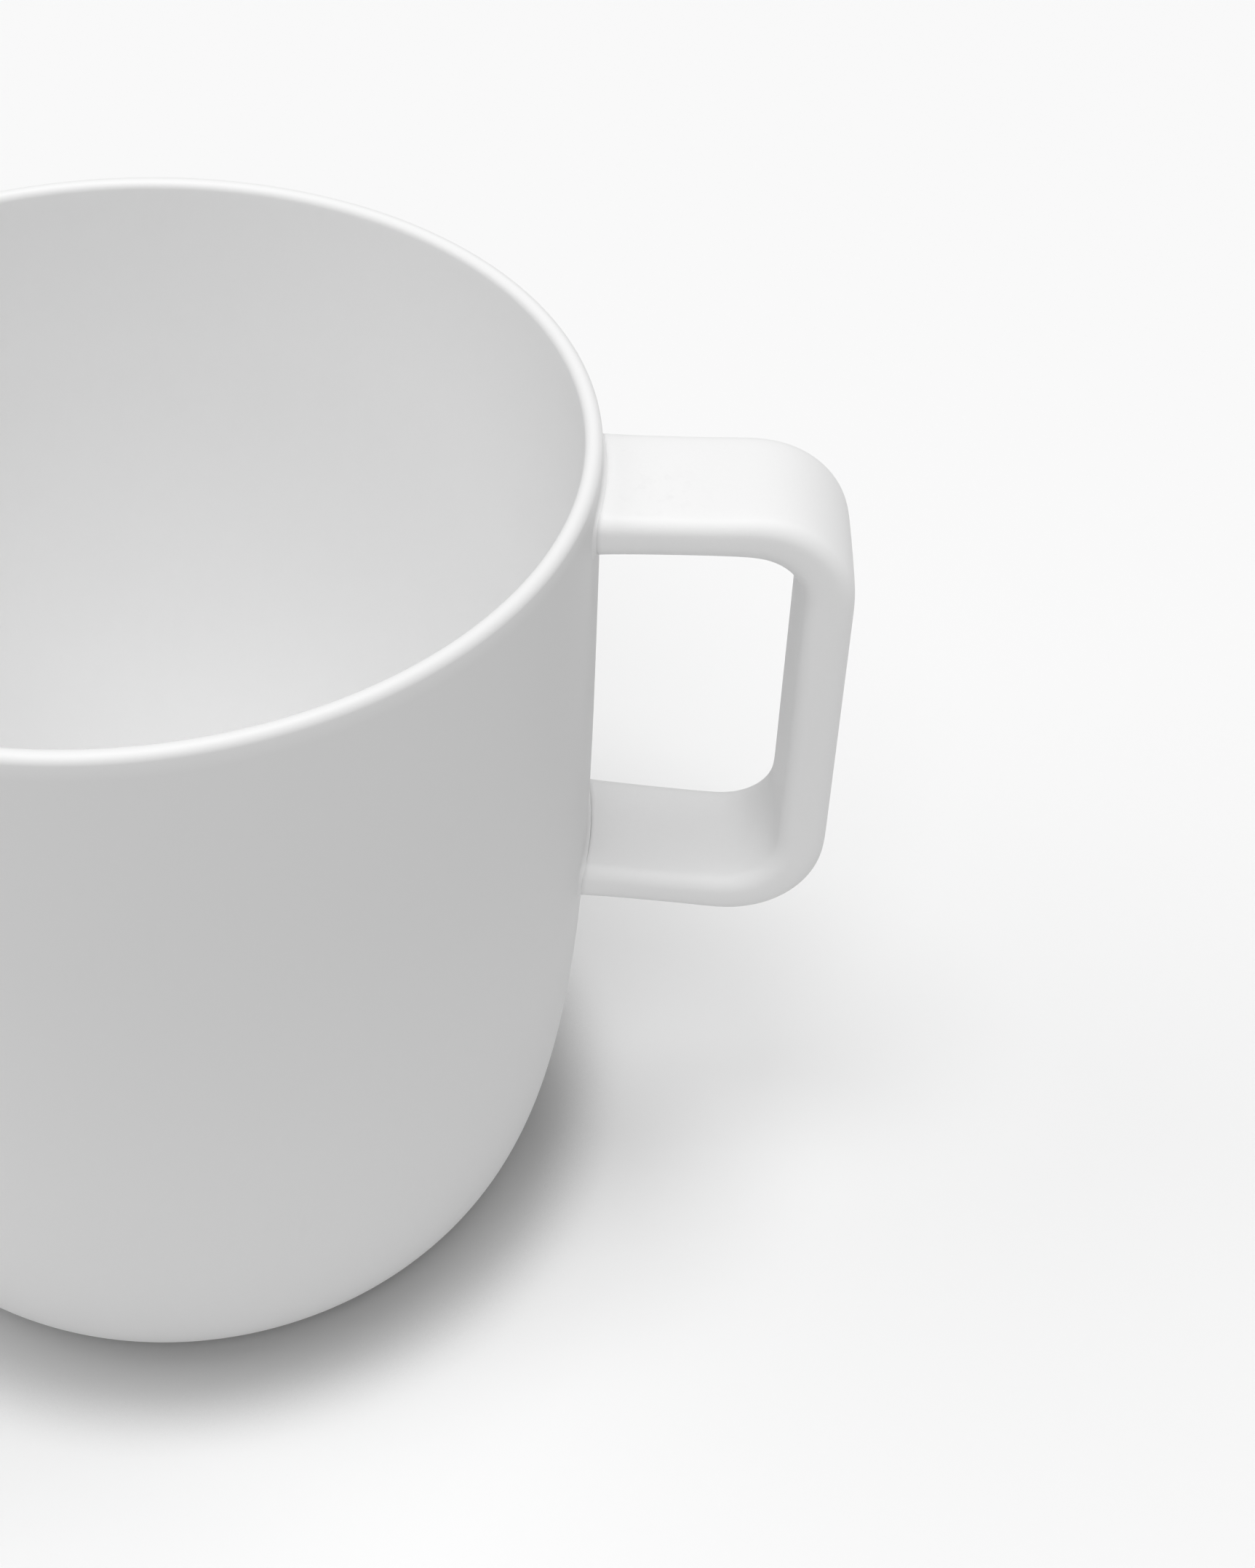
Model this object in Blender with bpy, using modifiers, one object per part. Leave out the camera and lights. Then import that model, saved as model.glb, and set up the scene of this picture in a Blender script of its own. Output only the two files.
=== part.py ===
"""Shaving mug: a slip-cast porcelain pot with a rounded-square strap handle.

The pot is one turned casting. The handle is a second casting, stuck to the wall
at its two roots with slip. Metres, +Z up, standing on z = 0. The mug's own axis
is moved back along -X, so that the origin is the middle of the whole footprint.
"""
import math

import bmesh
import bpy
from mathutils import Vector

# Pot
RIM_RADIUS = 0.0460         # outside of the straight wall
MUG_HEIGHT = 0.0978
WALL = 0.0021               # wall and full-round lip
CURVE_HEIGHT = 0.0754       # where the wall starts to draw in towards the foot
CURVE_EXPONENT = 2.92       # 2 is an ellipse, more is squarer
FOOT_RADIUS = 0.0317        # outer edge of the ring the mug stands on
FOOT_RING_WIDTH = 0.0035
FOOT_RECESS = 0.0012        # height of the unglazed hollow inside the ring
FLOOR = 0.0030              # thickness of the floor over that hollow
INNER_FLOOR_INSET = 0.0020  # the flat of the inside floor, in from the foot's edge

# Handle
STRAP_WIDTH = 0.0151
STRAP_THICKNESS = 0.0048
STRAP_EDGE = 0.0021         # rounding of the strap's four long edges
FINGER_REACH = 0.0202       # clear gap from the wall to the outer arm
ARM_DROP = 0.0034           # from the rim down to the upper arm's top face, at the wall
ARM_SPACING = 0.0469        # between the arms' middles, at the wall
UPPER_ARM_RISE = 0.0004     # from the wall out to the corner
LOWER_ARM_FALL = 0.0020
CORNER_RADIUS = 0.0077      # at the strap's middle

# Slip joints
SLIP_THICKNESS = 0.0008
SLIP_BEAD = 0.0005          # how far the slip stands out round the strap
JOINT_GAP = 0.0003          # clearance that touching solids keep

# Fineness
TURN_STEPS = 72
CURVE_STEPS = 14
LIP_STEPS = 8
CORNER_STEPS = 8
EDGE_SEGMENTS = 4

HANDLE_X = RIM_RADIUS + FINGER_REACH + STRAP_THICKNESS / 2
HANDLE_END = HANDLE_X + STRAP_THICKNESS / 2
AXIS_X = -(HANDLE_END - RIM_RADIUS) / 2
UPPER_ARM_Z = MUG_HEIGHT - ARM_DROP - STRAP_THICKNESS / 2
LOWER_ARM_Z = UPPER_ARM_Z - ARM_SPACING
HANDLE_CLEARANCE = 2 * JOINT_GAP + SLIP_THICKNESS

PORCELAIN = (0.84, 0.84, 0.835)
BISQUE_SLIP = (0.81, 0.81, 0.80)


def clear_scene():
    for obj in list(bpy.data.objects):
        bpy.data.objects.remove(obj, do_unlink=True)


def collection(name):
    made = bpy.data.collections.new(name)
    bpy.context.scene.collection.children.link(made)
    return made


def material(name, colour, roughness):
    made = bpy.data.materials.new(name)
    made.use_nodes = True
    shader = made.node_tree.nodes["Principled BSDF"]
    shader.inputs["Base Color"].default_value = (*colour, 1.0)
    shader.inputs["Roughness"].default_value = roughness
    shader.inputs["Metallic"].default_value = 0.0
    return made


def add_object(name, mesh, group, parent):
    obj = bpy.data.objects.new(name, mesh)
    obj.parent = parent
    group.objects.link(obj)
    return obj


def superellipse(start, end):
    """A quarter curve in (radius, z), upright at start and level at end."""
    points = []
    for step in range(CURVE_STEPS + 1):
        turn = math.pi / 2 * (step / CURVE_STEPS) ** 1.3
        across = math.cos(turn) ** (2 / CURVE_EXPONENT) if step < CURVE_STEPS else 0.0
        down = math.sin(turn) ** (2 / CURVE_EXPONENT)
        points.append((end[0] + (start[0] - end[0]) * across,
                       start[1] + (end[1] - start[1]) * down))
    return points


def outer_wall():
    """The pot's outside from just under the lip down to the foot."""
    return superellipse((RIM_RADIUS, CURVE_HEIGHT), (FOOT_RADIUS, 0.0))


def inner_wall():
    """The pot's inside, from the wall down to the flat floor."""
    return superellipse((RIM_RADIUS - WALL, CURVE_HEIGHT),
                        (FOOT_RADIUS - INNER_FLOOR_INSET, FOOT_RECESS + FLOOR))


def lip():
    """Half a circle over the wall's top edge, from the inside to the outside."""
    middle = RIM_RADIUS - WALL / 2
    base = MUG_HEIGHT - WALL / 2
    turns = [math.pi * (1 - step / LIP_STEPS) for step in range(LIP_STEPS + 1)]
    return [(middle + WALL / 2 * math.cos(turn), base + WALL / 2 * math.sin(turn))
            for turn in turns]


def foot():
    """The underside from the ring's inner edge to the axis."""
    ring_inside = FOOT_RADIUS - FOOT_RING_WIDTH
    return [(ring_inside, 0.0), (ring_inside - FOOT_RECESS, FOOT_RECESS), (0.0, FOOT_RECESS)]


def grown(profile, distance):
    """The profile moved out by a distance, square to itself."""
    points = []
    for i, (radius, z) in enumerate(profile):
        before = profile[max(i - 1, 0)]
        after = profile[min(i + 1, len(profile) - 1)]
        along = Vector((after[0] - before[0], after[1] - before[1])).normalized()
        points.append((radius - along.y * distance, z + along.x * distance))
    return points


def turned(name, profile, group, parent):
    """A profile at +X, given from top to bottom of its outer side, turned about Z."""
    mesh = bpy.data.meshes.new(name)
    verts = [(radius, 0.0, z) for radius, z in profile]
    mesh.from_pydata(verts, [(i, i + 1) for i in range(len(verts) - 1)], [])
    obj = add_object(name, mesh, group, parent)
    screw = obj.modifiers.new("Turn", "SCREW")
    screw.axis = "Z"
    screw.angle = 2 * math.pi
    screw.steps = TURN_STEPS
    screw.render_steps = TURN_STEPS
    screw.use_merge_vertices = True
    screw.merge_threshold = 0.00001
    screw.use_smooth_shade = True
    return obj


def wall_cutter(name, distance, group, parent):
    """A solid plug of the pot's outside, grown by a clearance."""
    top = MUG_HEIGHT + WALL
    side = grown([(RIM_RADIUS, top)] + outer_wall(), distance)
    side[0] = (RIM_RADIUS + distance, top)
    bottom = side[-1][1]
    plug = turned(name, [(0.0, top)] + side + [(0.0, bottom)], group, parent)
    plug.hide_render = True
    plug.display_type = "WIRE"
    return plug


def boolean(obj, cutter, operation):
    cut = obj.modifiers.new(operation.title(), "BOOLEAN")
    cut.operation = operation
    cut.object = cutter
    cut.solver = "EXACT"


def bevel(obj, width):
    edge = obj.modifiers.new("Edges", "BEVEL")
    edge.width = width
    edge.segments = EDGE_SEGMENTS
    edge.limit_method = "ANGLE"
    edge.angle_limit = math.radians(60)
    edge.use_clamp_overlap = False


def strap_line():
    """The strap's middle line, in the plane y = 0."""
    # Each arm passes through its own height at the wall and runs on towards the axis.
    upper = arm(UPPER_ARM_Z, UPPER_ARM_RISE)
    lower = arm(LOWER_ARM_Z, -LOWER_ARM_FALL)
    corners = [upper[0], upper[1], lower[1], lower[0]]
    points = [corners[0]]
    for before, at, after in zip(corners, corners[1:], corners[2:]):
        points += corner_arc(before, at, after)
    return points + [corners[3]]


def arm(height, rise):
    """An arm's two ends: halfway in to the axis, and at the corner."""
    inside = RIM_RADIUS / 2
    slope = rise / (HANDLE_X - RIM_RADIUS)
    return (Vector((inside, 0.0, height - slope * (RIM_RADIUS - inside))),
            Vector((HANDLE_X, 0.0, height + rise)))


def corner_arc(before, at, after):
    """An arc of CORNER_RADIUS that meets both runs at a tangent."""
    back, on = (before - at).normalized(), (after - at).normalized()
    half = back.angle(on) / 2
    centre = at + (back + on).normalized() * (CORNER_RADIUS / math.sin(half))
    first = (at + back * (CORNER_RADIUS / math.tan(half)) - centre).normalized()
    last = (at + on * (CORNER_RADIUS / math.tan(half)) - centre).normalized()
    return [centre + first.slerp(last, step / CORNER_STEPS) * CORNER_RADIUS
            for step in range(CORNER_STEPS + 1)]


def rounded_rectangle(width, height, radius, steps):
    """An anticlockwise outline with a quarter circle at each corner."""
    points = []
    for quarter, (side, up) in enumerate(((1, 1), (-1, 1), (-1, -1), (1, -1))):
        for step in range(steps + 1):
            turn = math.pi / 2 * (quarter + step / steps)
            points.append((side * (width / 2 - radius) + radius * math.cos(turn),
                           up * (height / 2 - radius) + radius * math.sin(turn)))
    return points


def poly_curve(name, points, cyclic, group, parent):
    curve = bpy.data.curves.new(name, "CURVE")
    curve.dimensions = "3D"
    spline = curve.splines.new("POLY")
    spline.points.add(len(points) - 1)
    for knot, point in zip(spline.points, points):
        knot.co = (*point, 1.0)
    spline.use_cyclic_u = cyclic
    return add_object(name, curve, group, parent)


def make_handle(group, cutters, parent):
    """The strap's section carried along its middle line, and cut short of the wall."""
    edge = min(STRAP_EDGE, 0.45 * STRAP_THICKNESS)
    outline = rounded_rectangle(STRAP_WIDTH, STRAP_THICKNESS, edge, EDGE_SEGMENTS)
    section = poly_curve("strap_section", [(x, y, 0.0) for x, y in outline], True, cutters, None)
    section.hide_render = True
    drawn = poly_curve("strap_line", strap_line(), False, group, parent)
    drawn.data.bevel_mode = "OBJECT"
    drawn.data.bevel_object = section
    drawn.data.use_fill_caps = True
    drawn.data.twist_mode = "MINIMUM"
    handle = as_mesh(drawn, "handle", group)
    handle.data.shade_smooth()
    handle.data.set_sharp_from_angle(angle=math.radians(40))
    boolean(handle, wall_cutter("handle_root_cutter", HANDLE_CLEARANCE, cutters, parent),
            "DIFFERENCE")
    return handle


def as_mesh(drawn, name, group):
    """A curve object made into a welded mesh in the same place."""
    bpy.context.view_layer.update()
    seen = drawn.evaluated_get(bpy.context.evaluated_depsgraph_get())
    mesh = bpy.data.meshes.new_from_object(seen)
    mesh.name = name
    weld = bmesh.new()
    weld.from_mesh(mesh)
    bmesh.ops.remove_doubles(weld, verts=weld.verts, dist=0.000001)
    bmesh.ops.recalc_face_normals(weld, faces=weld.faces)
    weld.to_mesh(mesh)
    weld.free()
    obj = bpy.data.objects.new(name, mesh)
    obj.matrix_world = drawn.matrix_world
    group.objects.link(obj)
    bpy.data.objects.remove(drawn, do_unlink=True)
    return obj


def make_slip_joint(name, height, slope, group, cutters, parent):
    """A pad of slip between an arm's root and the wall, a bead wider than the strap."""
    length = RIM_RADIUS / 2
    size = (length, STRAP_WIDTH + 2 * SLIP_BEAD, STRAP_THICKNESS + 2 * SLIP_BEAD)
    mesh = bpy.data.meshes.new(name)
    block = bmesh.new()
    bmesh.ops.create_cube(block, size=1.0)
    bmesh.ops.scale(block, vec=size, verts=block.verts)
    block.to_mesh(mesh)
    block.free()
    pad = add_object(name, mesh, group, parent)
    pad.location = (RIM_RADIUS, 0.0, height)
    pad.rotation_euler = (0.0, -slope, 0.0)
    bevel(pad, STRAP_EDGE + SLIP_BEAD / 2)
    wall_side = wall_cutter(name + "_wall_cutter", JOINT_GAP, cutters, parent)
    strap_side = wall_cutter(name + "_strap_cutter", JOINT_GAP + SLIP_THICKNESS, cutters, parent)
    boolean(pad, wall_side, "DIFFERENCE")
    boolean(pad, strap_side, "INTERSECT")
    return pad


def main():
    clear_scene()
    pieces = collection("shaving_mug")
    cutters = collection("cutters")
    axis = bpy.data.objects.new("mug_axis", None)
    axis.location = (AXIS_X, 0.0, 0.0)
    pieces.objects.link(axis)

    porcelain = material("porcelain", PORCELAIN, 0.55)
    handle_porcelain = material("handle_porcelain", PORCELAIN, 0.55)
    upper_slip = material("upper_slip", BISQUE_SLIP, 0.65)
    lower_slip = material("lower_slip", BISQUE_SLIP, 0.65)

    profile = inner_wall()[::-1] + lip() + outer_wall() + foot()
    body = turned("mug_body", [(0.0, FOOT_RECESS + FLOOR)] + profile, pieces, axis)
    body.data.materials.append(porcelain)

    handle = make_handle(pieces, cutters, axis)
    handle.data.materials.append(handle_porcelain)

    run = HANDLE_X - RIM_RADIUS
    joints = (("upper_slip_joint", UPPER_ARM_Z, UPPER_ARM_RISE, upper_slip),
              ("lower_slip_joint", LOWER_ARM_Z, -LOWER_ARM_FALL, lower_slip))
    for name, height, rise, finish in joints:
        pad = make_slip_joint(name, height, math.atan2(rise, run), pieces, cutters, axis)
        pad.data.materials.append(finish)


main()
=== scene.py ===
import math

import bpy
import numpy as np
from mathutils import Matrix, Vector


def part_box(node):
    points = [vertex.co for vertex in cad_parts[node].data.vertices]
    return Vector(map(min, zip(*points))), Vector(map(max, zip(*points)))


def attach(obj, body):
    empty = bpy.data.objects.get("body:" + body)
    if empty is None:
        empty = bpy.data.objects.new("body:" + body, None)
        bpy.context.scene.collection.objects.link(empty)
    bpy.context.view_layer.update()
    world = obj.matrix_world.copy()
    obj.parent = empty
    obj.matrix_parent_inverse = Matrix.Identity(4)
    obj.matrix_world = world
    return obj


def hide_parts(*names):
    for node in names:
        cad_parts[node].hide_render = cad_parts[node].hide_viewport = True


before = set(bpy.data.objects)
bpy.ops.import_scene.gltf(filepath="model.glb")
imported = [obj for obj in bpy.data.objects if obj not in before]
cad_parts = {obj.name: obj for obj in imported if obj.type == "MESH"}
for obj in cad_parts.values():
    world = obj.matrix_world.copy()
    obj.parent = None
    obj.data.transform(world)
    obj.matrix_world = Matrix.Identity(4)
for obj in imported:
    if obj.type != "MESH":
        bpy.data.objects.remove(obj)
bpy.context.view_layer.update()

potLow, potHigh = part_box("mug_body")
strapLow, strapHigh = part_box("handle")

mugAxis = (potLow.x + potHigh.x) / 2        # the mug's own axis, along X from the frame's origin
rimRadius = (potHigh.y - potLow.y) / 2
mugHeight = potHigh.z
print("frame loaded, rim radius", round(rimRadius, 4), "height", round(mugHeight, 4))


def smoothRise(value, start, end):
    # 0 up to start, 1 from end on, and an S-curve between: 3t^2 - 2t^3
    t = np.clip((value - start) / (end - start), 0, 1)
    return t * t * (3 - 2 * t)


def gridObject(name, points, marks, closeRows=False, capStart=False, capEnd=False):
    # Rows run along the piece and columns round it. The face at row i, column j joins (i, j),
    # (i+1, j), (i+1, j+1) and (i, j+1), and the last column meets the first. A cap is a fan of
    # triangles to the middle of an end row. Marks are numbers for each point that materials read.
    rows, columns = points.shape[:2]
    vertices = points.reshape(-1, 3)
    values = {key: np.broadcast_to(mark, (rows, columns)).reshape(-1) for key, mark in marks.items()}
    i, j = np.meshgrid(np.arange(rows if closeRows else rows - 1), np.arange(columns), indexing="ij")
    after, beside = (i + 1) % rows, (j + 1) % columns
    corners = [i * columns + j, after * columns + j, after * columns + beside, i * columns + beside]
    faces = np.stack(corners, axis=-1).reshape(-1, 4).tolist()
    ring = np.arange(columns)
    ahead = (ring + 1) % columns
    for wanted, row, first, second in ((capStart, 0, ring, ahead), (capEnd, rows - 1, ahead, ring)):
        if wanted:
            pole = np.full(columns, len(vertices))
            vertices = np.vstack([vertices, points[row].mean(axis=0)])
            values = {key: np.append(v, v[row * columns]) for key, v in values.items()}
            faces += np.stack([pole, row * columns + first, row * columns + second], axis=-1).tolist()
    mesh = bpy.data.meshes.new(name)
    mesh.from_pydata(vertices.tolist(), [], faces)
    for key, value in values.items():
        mesh.attributes.new(key, "FLOAT", "POINT").data.foreach_set("value", value.astype(np.float32))
    mesh.shade_smooth()
    made = bpy.data.objects.new(name, mesh)
    bpy.context.scene.collection.objects.link(made)
    return made


potShape = {
    "wall": 0.0021,
    "lip": 0.00175,             # the wall thins to this at the lip, which is a full half-round
    "curveHeight": 0.0754,      # where the wall starts to draw in towards the foot
    "curveExponent": 2.92,      # 2 is an ellipse, more is squarer
    "footRadius": 0.0317,
    "ringWidth": 0.0035,        # the ring it stands on, left bare
    "ringEdge": 0.0005,
    "recess": 0.0012,           # the hollow inside the ring
    "recessDome": 0.0003,       # how far the hollow rises on to the middle
    "floor": 0.0030,
    "floorInset": 0.0020,
    "bareInward": 0.0021,       # how far the bare tone fades past the ring's inner and outer edge
    "bareOutward": 0.0014,
    "bareFrom": 0.1,            # it starts to fade and is gone at these shares of the hollow's depth
    "bareTo": 0.5,
    "lipReach": 1.2,            # the lip's own finish reaches this many lip thicknesses down
    "paintedShadeFrom": 0.1,            # the painted shade outside, greyer high on the wall, starts and is full at these shares of the height
    "paintedShadeTo": 0.8,
    "paintedShadeStrength": 0.75,
    # the inside is painted lighter: painted light for light bounced round inside it
    "insideLightStrength": 0.98,
    "aroundCount": 288,
    "curveCount": 80,           # points down the inside curve, and down the outside one
    "outerCurveCount": 88,
    "runCount": 12,
    "floorCount": 16,
    "lipCount": 25,
    "edgeCount": 7,
    "ringCount": 5,
    "crowding": 1.3,            # more crowds a curve's points towards its upper end
}


def drawnIn(start, end, count):
    # A quarter superellipse, upright at start and level at end: the radius goes with
    # cos(t)^(2/n) and the height with sin(t)^(2/n), with n the curve exponent
    t = np.pi / 2 * np.linspace(0, 1, count) ** potShape["crowding"]
    power = 2 / potShape["curveExponent"]
    across = np.cos(t).clip(0) ** power
    down = np.sin(t) ** power
    return np.column_stack([end[0] + (start[0] - end[0]) * across, start[1] + (end[1] - start[1]) * down])


def wallRadius(z):
    # The pot's outside radius at a height, from the same superellipse
    n = potShape["curveExponent"]
    down = np.clip(1 - z / potShape["curveHeight"], 0, 1)
    return potShape["footRadius"] + (rimRadius - potShape["footRadius"]) * (1 - down ** n) ** (1 / n)


def roundStretch(middle, radius, start, end, count):
    # A stretch of a circle in (radius, height), from one angle to another
    t = np.radians(np.linspace(start, end, count))
    return np.column_stack([middle[0] + radius * np.cos(t), middle[1] + radius * np.sin(t)])


def straightRun(start, end, count):
    t = np.linspace(0, 1, count + 2)[1:-1, None]
    return np.array(start) * (1 - t) + np.array(end) * t


def potProfile():
    # One line in (radius, height): middle of the inside floor, up the inside, over the lip,
    # down the outside, across the foot ring and the hollow to the middle of the underside.
    # The third number is 1 inside and 0 outside, and changes over the lip.
    s = potShape
    floorTop = s["recess"] + s["floor"]
    floorEdge = (s["footRadius"] - s["floorInset"], floorTop)
    innerTurn = (rimRadius - s["wall"], s["curveHeight"])
    outerTurn = (rimRadius, s["curveHeight"])
    lipBase = mugHeight - s["lip"] / 2
    ringInside = s["footRadius"] - s["ringWidth"]
    edge = s["ringEdge"]
    lipMiddle = (rimRadius - s["lip"] / 2, lipBase)
    ringRound = roundStretch((ringInside + edge, edge), edge, -90, -180, s["edgeCount"])
    hollowRound = roundStretch((ringInside - edge, s["recess"] - edge), edge, 0, 90, s["edgeCount"])
    stretches = [
        (straightRun((0, floorTop), floorEdge, s["floorCount"]), 1, 1),
        (drawnIn(innerTurn, floorEdge, s["curveCount"])[::-1], 1, 1),
        (straightRun(innerTurn, (rimRadius - s["lip"], lipBase), s["runCount"]), 1, 1),
        (roundStretch(lipMiddle, s["lip"] / 2, 180, 0, s["lipCount"]), 1, 0),
        (straightRun((rimRadius, lipBase), outerTurn, s["runCount"]), 0, 0),
        (drawnIn(outerTurn, (s["footRadius"], 0), s["outerCurveCount"]), 0, 0),
        (straightRun((s["footRadius"], 0), ringRound[0], s["ringCount"]), 0, 0),
        (ringRound, 0, 0),
        (hollowRound, 0, 0),
        (straightRun(hollowRound[-1], (0, s["recess"] + s["recessDome"]), s["floorCount"]), 0, 0),
    ]
    return np.vstack([np.column_stack([line, np.linspace(first, last, len(line))])
                      for line, first, last in stretches])


def makePot():
    # The profile turned about the mug's axis
    s = potShape
    radius, height, inside = potProfile().T
    turn = np.linspace(0, 2 * np.pi, s["aroundCount"], endpoint=False)
    points = np.stack([mugAxis + radius[:, None] * np.cos(turn),
                       radius[:, None] * np.sin(turn),
                       np.repeat(height[:, None], len(turn), axis=1)], axis=-1)
    inside = inside[:, None]
    lip = smoothRise(height, mugHeight - s["lipReach"] * s["lip"], mugHeight)[:, None]
    # Painted shade: the outside turns greyer from low on the wall to high on it, short of the lip
    paintedShade = smoothRise(height, s["paintedShadeFrom"] * mugHeight, s["paintedShadeTo"] * mugHeight)[:, None]
    paintedShade = paintedShade * (1 - inside) * (1 - lip)
    ringInside = s["footRadius"] - s["ringWidth"]
    onRing = smoothRise(radius, ringInside - s["bareInward"], ringInside)
    pastRing = smoothRise(radius, s["footRadius"], s["footRadius"] + s["bareOutward"])
    low = 1 - smoothRise(height, s["bareFrom"] * s["recess"], s["bareTo"] * s["recess"])
    bare = (onRing * (1 - pastRing) * low)[:, None]
    # The inside mark carries painted light, a brighter inside; paintedShade carries painted shade outside
    marks = {"lip": lip, "bare": bare, "inside": s["insideLightStrength"] * inside,
             "paintedShade": s["paintedShadeStrength"] * paintedShade}
    return gridObject("cast_pot", points, marks, capStart=True, capEnd=True)


castPot = makePot()
print("pot made,", len(castPot.data.polygons), "faces")


strapShape = {
    "armThickness": 0.0045,
    "outerThickness": 0.0052,   # the upright is a little fuller than the arms
    "fullerFrom": 0.0092,       # where that swelling starts and ends, out from the wall
    "fullerTo": 0.0207,
    "edgeShare": 0.38,          # rounding of the long edges, as a share of the thickness
    "faceSpread": 6.0,          # more makes the faces flatter
    "cornerRadius": 0.0077,     # at the strap's middle
    "cornerEase": 0.0012,       # how softly the straights run into the corners
    "upperRise": 0.0004,        # from the wall out to the corner
    "lowerFall": 0.0020,
    "lowerDip": 0.0004,         # the lower corner is set this much lower, as rounding lifts it
    "rootFlare": 0.0002,        # added to each face at the wall, and how far it reaches
    "rootReach": 0.0025,
    "rootGap": 0.0003,          # slip between the wall and the strap's end
    "rootFit": 0.0060,          # length of arm that bends to follow the wall's roundness
    "fitMargin": 0.0100,        # past the arms' lines the wall is read at its nearest height
    "spacing": 0.0005,          # between rings along the strap
    "sectionCount": 96,
    "arcCount": 40,
}

strapWidth = strapHigh.y - strapLow.y
uprightX = strapHigh.x - mugAxis - strapShape["outerThickness"] / 2
upperCornerZ = strapHigh.z - strapShape["armThickness"] / 2
lowerCornerZ = strapLow.z + strapShape["armThickness"] / 2 - strapShape["lowerDip"]
upperRootZ = upperCornerZ - strapShape["upperRise"]
lowerRootZ = lowerCornerZ + strapShape["lowerFall"]
lowerRootX = float(wallRadius(lowerRootZ))


def cornerArc(before, at, after, radius):
    # The arc of a radius that touches both runs: its middle is radius / sin(half the angle)
    # away from the corner, on the line that halves the angle
    back, on = before - at, after - at
    back, on = back / np.linalg.norm(back), on / np.linalg.norm(on)
    half = math.acos(float(back @ on)) / 2
    middle = at + (back + on) / np.linalg.norm(back + on) * radius / math.sin(half)
    first, last = at + back * radius / math.tan(half) - middle, at + on * radius / math.tan(half) - middle
    share = np.linspace(0, 1, strapShape["arcCount"])[:, None]
    spread = math.pi - 2 * half
    swung = np.sin((1 - share) * spread) * first + np.sin(share * spread) * last
    return middle + swung / math.sin(spread)


def strapRoute():
    # The strap's middle line in (radius, height): two arms, the upright and a rounded corner
    # between each. It is spaced evenly and then smoothed, which eases the straights into the arcs.
    s = strapShape
    upperRoot, lowerRoot = np.array([rimRadius, upperRootZ]), np.array([lowerRootX, lowerRootZ])
    upperCorner, lowerCorner = np.array([uprightX, upperCornerZ]), np.array([uprightX, lowerCornerZ])
    line = np.vstack([
        upperRoot,
        cornerArc(upperRoot, upperCorner, lowerCorner, s["cornerRadius"]),
        cornerArc(upperCorner, lowerCorner, lowerRoot, s["cornerRadius"]),
        lowerRoot,
    ])
    along = np.concatenate([[0], np.cumsum(np.linalg.norm(np.diff(line, axis=0), axis=1))])
    even = np.linspace(0, along[-1], int(along[-1] / s["spacing"]))
    line = np.column_stack([np.interp(even, along, line[:, axis]) for axis in (0, 1)])
    reach = int(3 * s["cornerEase"] / s["spacing"])
    weight = np.exp(-0.5 * (np.arange(-reach, reach + 1) * s["spacing"] / s["cornerEase"]) ** 2)
    padded = np.vstack([line[0] - (line[1] - line[0]) * np.arange(reach, 0, -1)[:, None], line,
                        line[-1] + (line[-1] - line[-2]) * np.arange(1, reach + 1)[:, None]])
    return np.column_stack([np.convolve(padded[:, axis], weight / weight.sum(), "valid") for axis in (0, 1)])


def strapSection(thickness):
    # A circle of the edge's radius whose middle slides from corner to corner: the offset across
    # goes with tanh(k sin t) and the offset up with tanh(k cos t), k being the face spread
    s = strapShape
    t = np.linspace(0, 2 * np.pi, s["sectionCount"], endpoint=False)
    thickness = np.atleast_1d(thickness)[:, None]
    edge = s["edgeShare"] * thickness
    slide = [np.tanh(s["faceSpread"] * wave) / np.tanh(s["faceSpread"]) for wave in (np.sin(t), np.cos(t))]
    across = (strapWidth / 2 - edge) * slide[0] + edge * np.sin(t)
    up = (thickness / 2 - edge) * slide[1] + edge * np.cos(t)
    return across, up


def wallX(y, z):
    # Where the pot's outside is, along X, at a width and a height
    return mugAxis + np.sqrt(wallRadius(z) ** 2 - y ** 2)


def makeStrap():
    # The section carried along the route, square to it. Near each root the points slide along the
    # arm so that the end follows the wall.
    s = strapShape
    route = strapRoute()
    tangent = np.gradient(route, axis=0)
    tangent /= np.linalg.norm(tangent, axis=1)[:, None]
    out = route[:, 0] - rimRadius
    fromRoot = np.minimum(np.arange(len(route)), np.arange(len(route))[::-1]) * s["spacing"]
    fuller = smoothRise(out, s["fullerFrom"], s["fullerTo"]) * (s["outerThickness"] - s["armThickness"])
    flare = s["rootFlare"] * np.exp(-fromRoot / s["rootReach"])
    across, up = strapSection(s["armThickness"] + fuller + 2 * flare)
    across = across * (1 + flare / strapWidth)[:, None]
    x = mugAxis + route[:, :1] - tangent[:, 1:] * up
    z = route[:, 1:] + tangent[:, :1] * up
    rootX = np.where(np.arange(len(route)) < len(route) / 2, rimRadius, lowerRootX)[:, None] + mugAxis
    fit = np.clip(1 - fromRoot / s["rootFit"], 0, 1)[:, None] ** 2
    wallAt = wallX(across, z.clip(lowerCornerZ - s["fitMargin"], upperCornerZ + s["fitMargin"]))
    x = x + (wallAt + s["rootGap"] - rootX) * fit
    edge = smoothRise(np.abs(across), strapWidth / 2 - s["armThickness"] / 2, strapWidth / 2)
    return gridObject("strap_handle", np.stack([x, across, z], axis=-1), {"edge": edge},
                      capStart=True, capEnd=True)


strapHandle = makeStrap()
print("strap made,", len(strapHandle.data.polygons), "faces")


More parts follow.
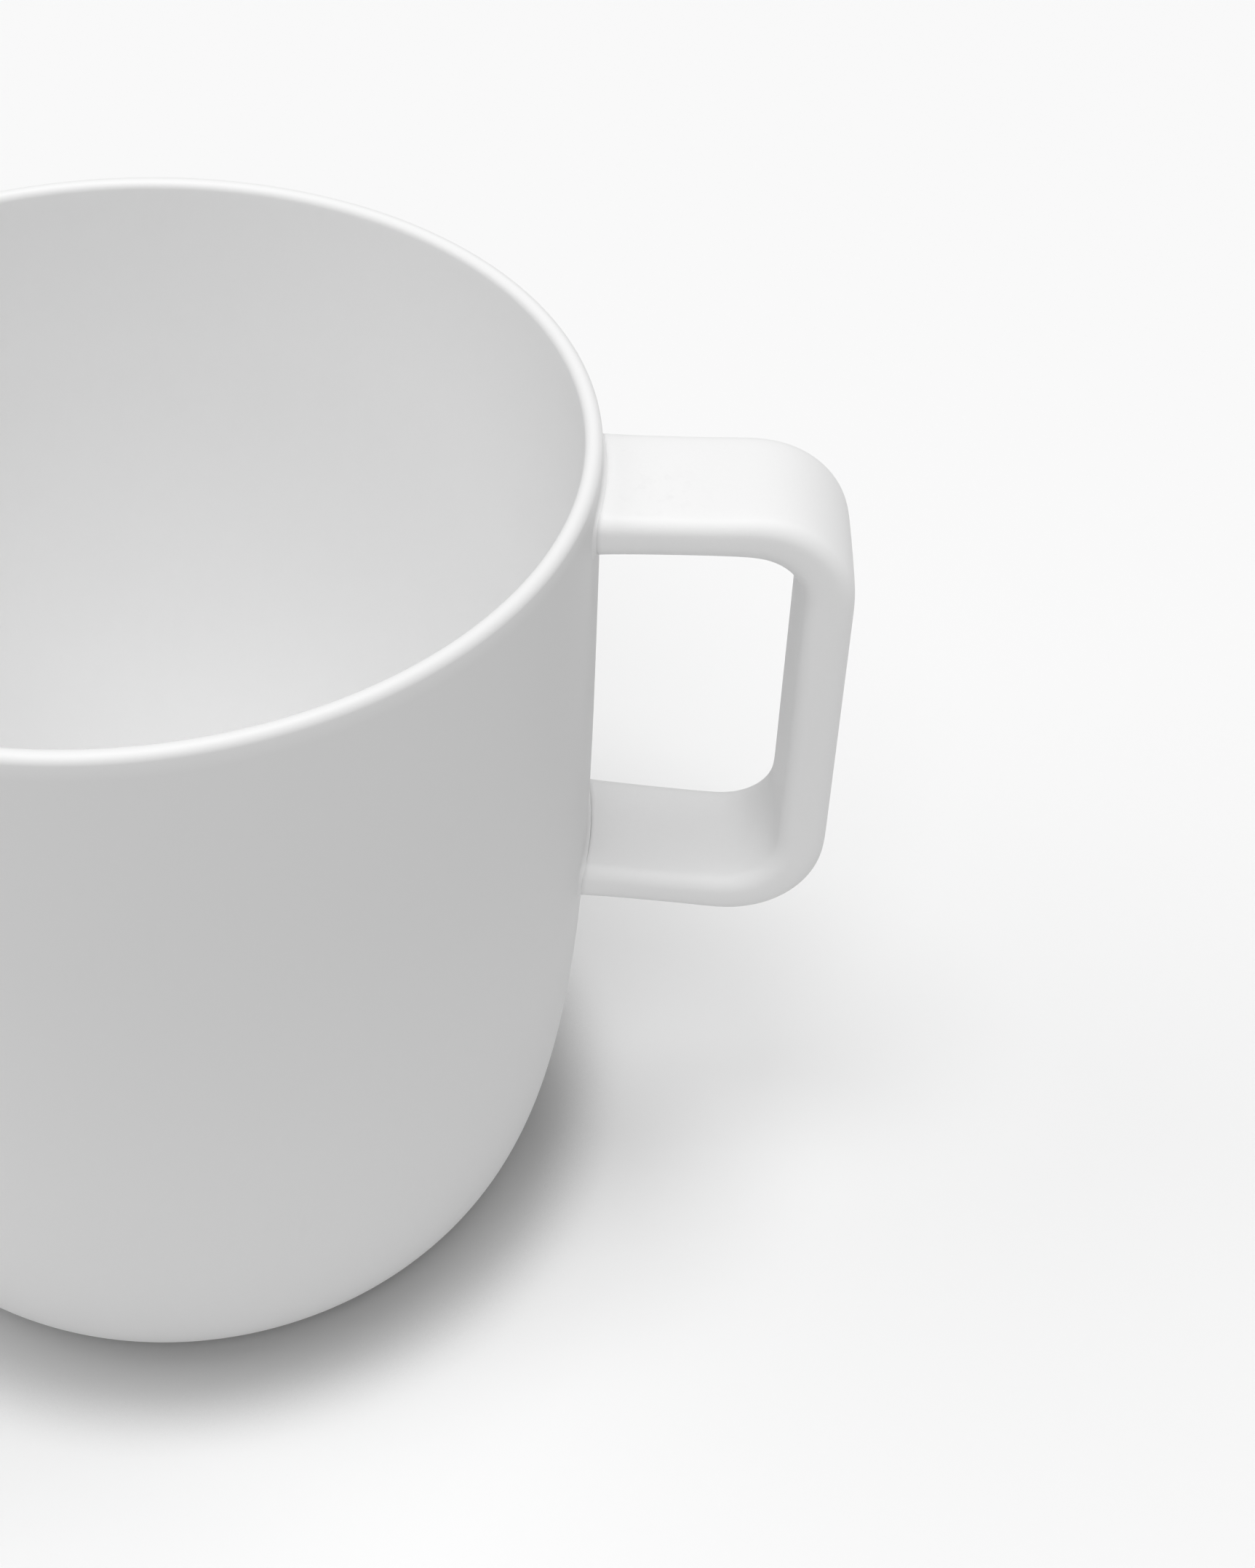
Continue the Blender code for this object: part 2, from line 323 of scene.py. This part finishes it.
slipShape = {
    "fillet": 0.0004,           # radius of the hollow curve between wall and strap
    "sideFillet": 0.0003,       # what it gains at the strap's two narrow sides
    "unevenness": 0.12,         # how much the sponged fillet varies, as a share
    "sink": 0.00004,            # how far its thin edges lie under both surfaces
    "padWidth": 0.0010,         # how far the slip reaches in under the strap's end
    "curveCount": 12,
    "upperPhase": 0.8,          # where round the root the unevenness starts
    "lowerPhase": 2.1,
}


def makeSlip(name, rootZ, slope, phase):
    # A closed ring round the strap's root. Each cut through it is measured out from the strap
    # and out from the wall: a hollow quarter circle from the wall to the strap, then the strap's
    # end and the wall as its other sides.
    s = slipShape
    across, up = strapSection(strapShape["armThickness"] + 2 * strapShape["rootFlare"])
    across, up = across[0], up[0]
    turn = np.linspace(0, 2 * np.pi, len(across), endpoint=False)
    stepAcross = np.roll(across, -1) - np.roll(across, 1)
    stepUp = np.roll(up, -1) - np.roll(up, 1)
    length = np.hypot(stepAcross, stepUp)
    normalAcross, normalUp = -stepUp / length, stepAcross / length
    uneven = 1 + s["unevenness"] * (np.sin(2 * turn + phase) + 0.5 * np.sin(5 * turn + 2 * phase))
    fillet = (s["fillet"] + s["sideFillet"] * np.sin(turn) ** 4) * uneven
    t = np.linspace(0, np.pi / 2, s["curveCount"])[:, None]
    fromStrap = fillet * (1 - np.sin(t))
    fromWall = fillet * (1 - np.cos(t))
    same = np.ones(len(across))
    behind = strapShape["rootGap"] - s["sink"]
    fromStrap = np.vstack([fromStrap, -s["sink"] * same, -s["sink"] * same, -s["padWidth"] * same,
                           -s["padWidth"] * same, fillet + s["sink"]])
    fromWall = np.vstack([fromWall, fillet, behind * same, behind * same, -s["sink"] * same,
                          -s["sink"] * same])
    y = across + fromStrap * normalAcross
    z = rootZ + up + fromStrap * normalUp + slope * fromWall
    points = np.stack([wallX(y, z) + fromWall, y, z], axis=-1)
    return gridObject(name, points, {"edge": np.zeros(len(across))}, closeRows=True)


armReach = uprightX - rimRadius
upperSlope = strapShape["upperRise"] / armReach
lowerSlope = -strapShape["lowerFall"] / armReach
upperSlip = makeSlip("upper_slip_bead", upperRootZ, upperSlope, slipShape["upperPhase"])
lowerSlip = makeSlip("lower_slip_bead", lowerRootZ, lowerSlope, slipShape["lowerPhase"])
print("slip joints made")


def addNode(tree, kind, inputs=None, **settings):
    # A node with its settings; an input is a value or another node's output
    node = tree.nodes.new(kind)
    for key, value in settings.items():
        setattr(node, key, value)
    for key, value in (inputs or {}).items():
        if isinstance(value, bpy.types.NodeSocket):
            tree.links.new(value, node.inputs[key])
        else:
            node.inputs[key].default_value = value
    return node


def newGroup(name, inputs, outputs):
    tree = bpy.data.node_groups.new(name, "ShaderNodeTree")
    for key, kind, value in inputs:
        made = tree.interface.new_socket(key, in_out="INPUT", socket_type=kind)
        if value is not None:
            made.default_value = value
    for key, kind in outputs:
        tree.interface.new_socket(key, in_out="OUTPUT", socket_type=kind)
    return tree, tree.nodes.new("NodeGroupInput").outputs, tree.nodes.new("NodeGroupOutput").inputs


def maths(tree, operation, first, second=0.0, third=0.0, clamp=False):
    node = addNode(tree, "ShaderNodeMath", {0: first, 1: second, 2: third}, operation=operation)
    node.use_clamp = clamp
    return node.outputs[0]


def smoothRange(tree, value, start, end):
    # The same S-curve as smoothRise, as a node
    return addNode(tree, "ShaderNodeMapRange", {"Value": value, "From Min": start, "From Max": end},
                   interpolation_type="SMOOTHSTEP").outputs[0]


grainPattern = {
    "cloudScale": 40.0,
    "cloudRoughness": 0.55,
    "toothScale": 2600.0,
    "toothRoughness": 0.6,
    "pinholeScale": 330.0,      # cells to a metre, of which only a share hold a pinhole
    "pinholeShare": 0.04,
    "pinholeSize": 0.03,        # in cells, and how much more the largest have
    "pinholeSpread": 0.05,
    "pinholeDepth": 3.0,
}


def castGrainGroup():
    # Slow clouding of the tone, and a fine sandy tooth with a few pinholes
    s = grainPattern
    tree, given, result = newGroup(
        "castGrain",
        [("Vector", "NodeSocketVector", None), ("Cloud Scale", "NodeSocketFloat", s["cloudScale"]),
         ("Tooth Scale", "NodeSocketFloat", s["toothScale"]),
         ("Pinhole Share", "NodeSocketFloat", s["pinholeShare"])],
        [("Cloud", "NodeSocketFloat"), ("Tooth", "NodeSocketFloat"), ("Height", "NodeSocketFloat")])
    cloud = addNode(tree, "ShaderNodeTexNoise", {"Vector": given["Vector"], "Scale": given["Cloud Scale"],
                                                 "Detail": 4.0, "Roughness": s["cloudRoughness"]})
    tooth = addNode(tree, "ShaderNodeTexNoise", {"Vector": given["Vector"], "Scale": given["Tooth Scale"],
                                                 "Detail": 3.0, "Roughness": s["toothRoughness"]})
    cells = addNode(tree, "ShaderNodeTexVoronoi", {"Vector": given["Vector"], "Scale": s["pinholeScale"]})
    chosen = addNode(tree, "ShaderNodeSeparateColor", {"Color": cells.outputs["Color"]})
    picked = maths(tree, "LESS_THAN", chosen.outputs[0], given["Pinhole Share"])
    size = maths(tree, "MULTIPLY_ADD", chosen.outputs[1], s["pinholeSpread"], s["pinholeSize"])
    depth = maths(tree, "SUBTRACT", 1.0, maths(tree, "DIVIDE", cells.outputs["Distance"], size), clamp=True)
    pinhole = maths(tree, "MULTIPLY", depth, picked)
    sunk = maths(tree, "MULTIPLY", pinhole, s["pinholeDepth"])
    tree.links.new(cloud.outputs["Fac"], result["Cloud"])
    tree.links.new(tooth.outputs["Fac"], result["Tooth"])
    tree.links.new(maths(tree, "SUBTRACT", tooth.outputs["Fac"], sunk), result["Height"])
    return tree


handlingPattern = {
    "rubCover": 0.5,            # more leaves fewer marks
    "speckShare": 0.05,
    "placeScale": 55.0,
    "placeTo": 0.78,
    "strokeTurn": (0.35, 0.5, 0.0),
    "strokeScale": (900.0, 900.0, 120.0),
    "strokeFrom": 0.5,
    "strokeTo": 0.72,
    "speckScale": 210.0,        # cells to a metre, of which only a share hold a speck
    "speckSize": 0.014,         # in cells, and how much more the largest have
    "speckSpread": 0.02,
}


def handlingGroup():
    # Faint rubbed marks in short strokes, gathered in a few places, and tiny dark specks
    s = handlingPattern
    tree, given, result = newGroup(
        "handlingMarks",
        [("Vector", "NodeSocketVector", None), ("Rub Cover", "NodeSocketFloat", s["rubCover"]),
         ("Speck Share", "NodeSocketFloat", s["speckShare"])],
        [("Rub", "NodeSocketFloat"), ("Speck", "NodeSocketFloat")])
    place = addNode(tree, "ShaderNodeTexNoise", {"Vector": given["Vector"], "Scale": s["placeScale"],
                                                 "Detail": 1.0})
    slant = addNode(tree, "ShaderNodeMapping", {"Vector": given["Vector"], "Rotation": s["strokeTurn"],
                                                "Scale": s["strokeScale"]})
    stroke = addNode(tree, "ShaderNodeTexNoise", {"Vector": slant.outputs[0], "Scale": 1.0, "Detail": 3.0})
    where = smoothRange(tree, place.outputs["Fac"], given["Rub Cover"], s["placeTo"])
    line = smoothRange(tree, stroke.outputs["Fac"], s["strokeFrom"], s["strokeTo"])
    cells = addNode(tree, "ShaderNodeTexVoronoi", {"Vector": given["Vector"], "Scale": s["speckScale"]})
    chosen = addNode(tree, "ShaderNodeSeparateColor", {"Color": cells.outputs["Color"]})
    picked = maths(tree, "LESS_THAN", chosen.outputs[0], given["Speck Share"])
    size = maths(tree, "MULTIPLY_ADD", chosen.outputs[1], s["speckSpread"], s["speckSize"])
    dot = maths(tree, "SUBTRACT", 1.0, maths(tree, "DIVIDE", cells.outputs["Distance"], size), clamp=True)
    tree.links.new(maths(tree, "MULTIPLY", where, line), result["Rub"])
    tree.links.new(maths(tree, "MULTIPLY", dot, picked), result["Speck"])
    return tree


thinPattern = {
    "noiseScale": 260.0,
    "breakUp": 0.3,
}


def drawnThinGroup():
    # Where the slip draws thin over an edge: an even rim mark, broken up a little
    s = thinPattern
    tree, given, result = newGroup(
        "drawnThin",
        [("Vector", "NodeSocketVector", None), ("Edge", "NodeSocketFloat", 0.0),
         ("Break Up", "NodeSocketFloat", s["breakUp"])],
        [("Mask", "NodeSocketFloat")])
    noise = addNode(tree, "ShaderNodeTexNoise", {"Vector": given["Vector"], "Scale": s["noiseScale"],
                                                 "Detail": 2.0})
    broken = maths(tree, "MULTIPLY", maths(tree, "SUBTRACT", noise.outputs["Fac"], 0.5), given["Break Up"])
    tree.links.new(maths(tree, "MULTIPLY", given["Edge"], maths(tree, "ADD", 1.0, broken), clamp=True),
                   result["Mask"])
    return tree


castGrain, handlingMarks, drawnThin = castGrainGroup(), handlingGroup(), drawnThinGroup()


def mixColour(tree, amount, first, second):
    node = addNode(tree, "ShaderNodeMix", {"Factor": amount}, data_type="RGBA")
    for socket, value in ((node.inputs[6], first), (node.inputs[7], second)):
        if isinstance(value, bpy.types.NodeSocket):
            tree.links.new(value, socket)
        else:
            socket.default_value = (*value, 1.0)
    return node.outputs[2]


def porcelain(name, look):
    # White porcelain with a satin matt skin. Its tone, roughness and surface all vary a little.
    made = bpy.data.materials.new(name)
    made.use_nodes = True
    tree = made.node_tree
    shader = tree.nodes["Principled BSDF"]
    shader.inputs["IOR"].default_value = look["ior"]
    shader.inputs["Specular IOR Level"].default_value = look["specular"]
    place = addNode(tree, "ShaderNodeTexCoord").outputs["Object"]
    shifted = addNode(tree, "ShaderNodeMapping", {"Vector": place, "Location": look["patternShift"]})
    grain = addNode(tree, "ShaderNodeGroup", {}, node_tree=castGrain)
    marks = addNode(tree, "ShaderNodeGroup", {}, node_tree=handlingMarks)
    thin = addNode(tree, "ShaderNodeGroup", {}, node_tree=drawnThin)
    for group in (grain, marks, thin):
        tree.links.new(shifted.outputs[0], group.inputs["Vector"])
    grain.inputs["Tooth Scale"].default_value = look["toothScale"]
    grain.inputs["Pinhole Share"].default_value = look["pinholeShare"]
    marks.inputs["Rub Cover"].default_value = look["rubCover"]
    marks.inputs["Speck Share"].default_value = look["speckShare"]
    edge = addNode(tree, "ShaderNodeAttribute", {}, attribute_name=look["edgeMark"])
    tree.links.new(edge.outputs["Fac"], thin.inputs["Edge"])

    clouded = mixColour(tree, grain.outputs["Cloud"], look["shade"], look["light"])
    toothy = mixColour(tree, maths(tree, "MULTIPLY", grain.outputs["Tooth"], look["toothTone"]),
                       clouded, look["toothShade"])
    edged = mixColour(tree, maths(tree, "MULTIPLY", thin.outputs["Mask"], look["edgeTone"]),
                      toothy, look["edgeColour"])
    rubbed = mixColour(tree, maths(tree, "MULTIPLY", marks.outputs["Rub"], look["rubTone"]),
                       edged, look["rubColour"])
    colour = mixColour(tree, maths(tree, "MULTIPLY", marks.outputs["Speck"], look["speckTone"]),
                       rubbed, look["speckColour"])
    rough = maths(tree, "MULTIPLY_ADD", grain.outputs["Cloud"], look["roughSpan"], look["rough"])
    rough = maths(tree, "MULTIPLY_ADD", marks.outputs["Rub"], -look["rubPolish"], rough)
    rough = maths(tree, "MULTIPLY_ADD", thin.outputs["Mask"], -look["edgePolish"], rough)
    for mark, paint, gain in look["zones"]:
        zone = addNode(tree, "ShaderNodeAttribute", {}, attribute_name=mark).outputs["Fac"]
        colour = mixColour(tree, zone, colour, paint)
        rough = maths(tree, "MULTIPLY_ADD", zone, gain, rough)
    tree.links.new(colour, shader.inputs["Base Color"])
    tree.links.new(rough, shader.inputs["Roughness"])
    bump = addNode(tree, "ShaderNodeBump", {"Strength": look["bumpStrength"], "Distance": look["bumpDepth"],
                                            "Height": grain.outputs["Height"]})
    tree.links.new(bump.outputs[0], shader.inputs["Normal"])
    return made


# A zone is a mark, its tone and what it adds to the roughness. The paintedShade zone is painted
# shade, greyer high on the outside wall, and the inside zone is painted light, a brighter inside.
# Both stand in for light that the lamps below don't give. Without those two zones the body is one white.
potFinish = {
    "light": (0.95, 0.95, 0.95), "shade": (0.92, 0.92, 0.92),
    "toothTone": 0.06, "toothShade": (0.70, 0.70, 0.70), "toothScale": 2600.0,
    "rough": 0.50, "roughSpan": 0.08, "ior": 1.5, "specular": 0.35,
    "edgeMark": "lip", "edgeTone": 0.35, "edgeColour": (0.86, 0.86, 0.86), "edgePolish": 0.10,
    "rubCover": 0.60, "rubTone": 0.06, "rubColour": (0.42, 0.42, 0.43), "rubPolish": 0.06,
    "speckShare": 0.05, "speckTone": 0.35, "speckColour": (0.32, 0.30, 0.28),
    "pinholeShare": 0.03, "bumpStrength": 0.35, "bumpDepth": 0.00003,
    "zones": (("paintedShade", (0.80, 0.80, 0.80), 0.0), ("inside", (0.975, 0.975, 0.975), -0.08),
              ("bare", (0.76, 0.755, 0.74), 0.22)),
    "patternShift": (0.0, 0.0, 0.0),
}
strapFinish = {**potFinish, "edgeMark": "edge", "edgeTone": 0.12, "edgePolish": 0.06, "zones": (),
               "rubCover": 0.52, "speckShare": 0.03, "patternShift": (0.31, 0.12, 0.07)}
slipFinish = {**potFinish, "edgeMark": "edge", "zones": (), "rough": 0.58, "toothScale": 1900.0,
              "toothTone": 0.10, "rubTone": 0.0, "speckShare": 0.0, "bumpStrength": 0.5,
              "light": (0.925, 0.925, 0.925), "shade": (0.890, 0.890, 0.890),
              "patternShift": (0.05, 0.4, 0.2)}

potPorcelain = porcelain("bodyPorcelain", potFinish)
strapPorcelain = porcelain("strapPorcelain", strapFinish)
slipPorcelain = porcelain("jointSlip", slipFinish)

for piece, node, slot, finish in (
        (castPot, "mug_body", "body_porcelain", potPorcelain),
        (strapHandle, "handle", "handle_porcelain", strapPorcelain),
        (upperSlip, "upper_slip_joint", "joint_slip", slipPorcelain),
        (lowerSlip, "lower_slip_joint", "joint_slip", slipPorcelain)):
    piece.data.materials.append(finish)
    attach(piece, "root")
    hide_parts(node)
print("finishes made")


studio = {
    "floorSize": 6.0,
    "floorColour": (0.935, 0.935, 0.935),
    "floorBounce": (0.62, 0.62, 0.62),      # what the floor gives back to the mug
    "paintedShadowColour": (0.52, 0.52, 0.52),    # painted contact shadow: the floor's tone where the mug crowds right over it
    "contactReach": 0.0155,
    "contactFrom": 0.5,         # full painted shadow up to this openness, none from the next one on
    "contactTo": 0.92,
    "skyStrength": 0.34,
    "skySeen": 0.955,           # what the camera sees past the floor's edge
}

# Name, W/m2, degrees from overhead, degrees from +X towards +Y, and degrees across
lamps = (
    ("overhead", 0.67, 12.0, 225.0, 24.0),
    ("back", 0.53, 12.0, 45.0, 24.0),
    ("front", 0.60, 36.0, 270.0, 30.0),
    ("left", 0.34, 50.0, 180.0, 34.0),
    ("right", 0.25, 22.0, 0.0, 28.0),
)


def makeFloor():
    # Pale to the eye. It gives the mug less light than its own tone would, and a contact shadow is
    # painted on it, darker where the mug is close over it.
    half = studio["floorSize"] / 2
    mesh = bpy.data.meshes.new("floor")
    corners = [(-half, -half, 0), (half, -half, 0), (half, half, 0), (-half, half, 0)]
    mesh.from_pydata(corners, [], [(0, 1, 2, 3)])
    floor = bpy.data.objects.new("floor", mesh)
    bpy.context.scene.collection.objects.link(floor)
    paint = bpy.data.materials.new("studioFloor")
    paint.use_nodes = True
    tree = paint.node_tree
    shader = tree.nodes["Principled BSDF"]
    shader.inputs["Roughness"].default_value = 1.0
    shader.inputs["Specular IOR Level"].default_value = 0.0
    # Painted shadow: ambient occlusion darkens the floor's colour round the mug's foot
    near = addNode(tree, "ShaderNodeAmbientOcclusion", {"Distance": studio["contactReach"]})
    openness = smoothRange(tree, near.outputs["AO"], studio["contactFrom"], studio["contactTo"])
    seen = mixColour(tree, openness, studio["paintedShadowColour"], studio["floorColour"])
    bounced = addNode(tree, "ShaderNodeLightPath").outputs["Is Diffuse Ray"]
    tree.links.new(mixColour(tree, bounced, seen, studio["floorBounce"]), shader.inputs["Base Color"])
    mesh.materials.append(paint)


def makeLight():
    for name, strength, tilt, bearing, spread in lamps:
        lamp = bpy.data.lights.new(name, "SUN")
        lamp.energy = strength
        lamp.angle = math.radians(spread)
        sun = bpy.data.objects.new(name, lamp)
        bpy.context.scene.collection.objects.link(sun)
        sun.rotation_euler = (0.0, math.radians(tilt), math.radians(bearing))
    world = bpy.data.worlds.new("paleStudio")
    bpy.context.scene.world = world
    world.use_nodes = True
    tree = world.node_tree
    background = tree.nodes["Background"]
    seen = addNode(tree, "ShaderNodeLightPath").outputs["Is Camera Ray"]
    span = studio["skySeen"] - studio["skyStrength"]
    background.inputs["Color"].default_value = (1.0, 1.0, 1.0, 1.0)
    strength = maths(tree, "MULTIPLY_ADD", seen, span, studio["skyStrength"])
    tree.links.new(strength, background.inputs["Strength"])


cameraSetting = {
    "lens": 57.37,              # mm
    "sensor": 36.0,
    "nearest": 0.005,           # nothing closer than this is drawn
    "elevation": 43.748,        # degrees it looks down
    "bearing": 1.198,           # degrees it is turned from +Y towards +X
    "roll": 2.858,
    "distance": 5.8159,         # from the aim point, in rim radii
    "aimOut": 1.0846,           # the aim point from the mug's axis and the floor, in rim radii
    "aimUp": 1.16,
}


def makeCamera():
    s = cameraSetting
    down, bearing, roll = (math.radians(s[key]) for key in ("elevation", "bearing", "roll"))
    level = math.cos(down)
    forward = np.array([math.sin(bearing) * level, math.cos(bearing) * level, -math.sin(down)])
    sideways = np.array([math.cos(bearing), -math.sin(bearing), 0.0])
    upright = np.cross(sideways, forward)
    right = sideways * math.cos(roll) + upright * math.sin(roll)
    up = upright * math.cos(roll) - sideways * math.sin(roll)
    aim = np.array([mugAxis + s["aimOut"] * rimRadius, 0.0, s["aimUp"] * rimRadius])
    place = np.eye(4)
    place[:3, :3] = np.column_stack([right, up, -forward])
    place[:3, 3] = aim - forward * s["distance"] * rimRadius
    data = bpy.data.cameras.new("studioCamera")
    data.lens = s["lens"]
    data.sensor_width = s["sensor"]
    data.clip_start = s["nearest"]
    camera = bpy.data.objects.new("studioCamera", data)
    bpy.context.scene.collection.objects.link(camera)
    camera.matrix_world = Matrix(place.tolist())
    bpy.context.scene.camera = camera


makeFloor()
makeLight()
makeCamera()
bpy.context.scene.view_settings.view_transform = "Standard"
print("studio set")
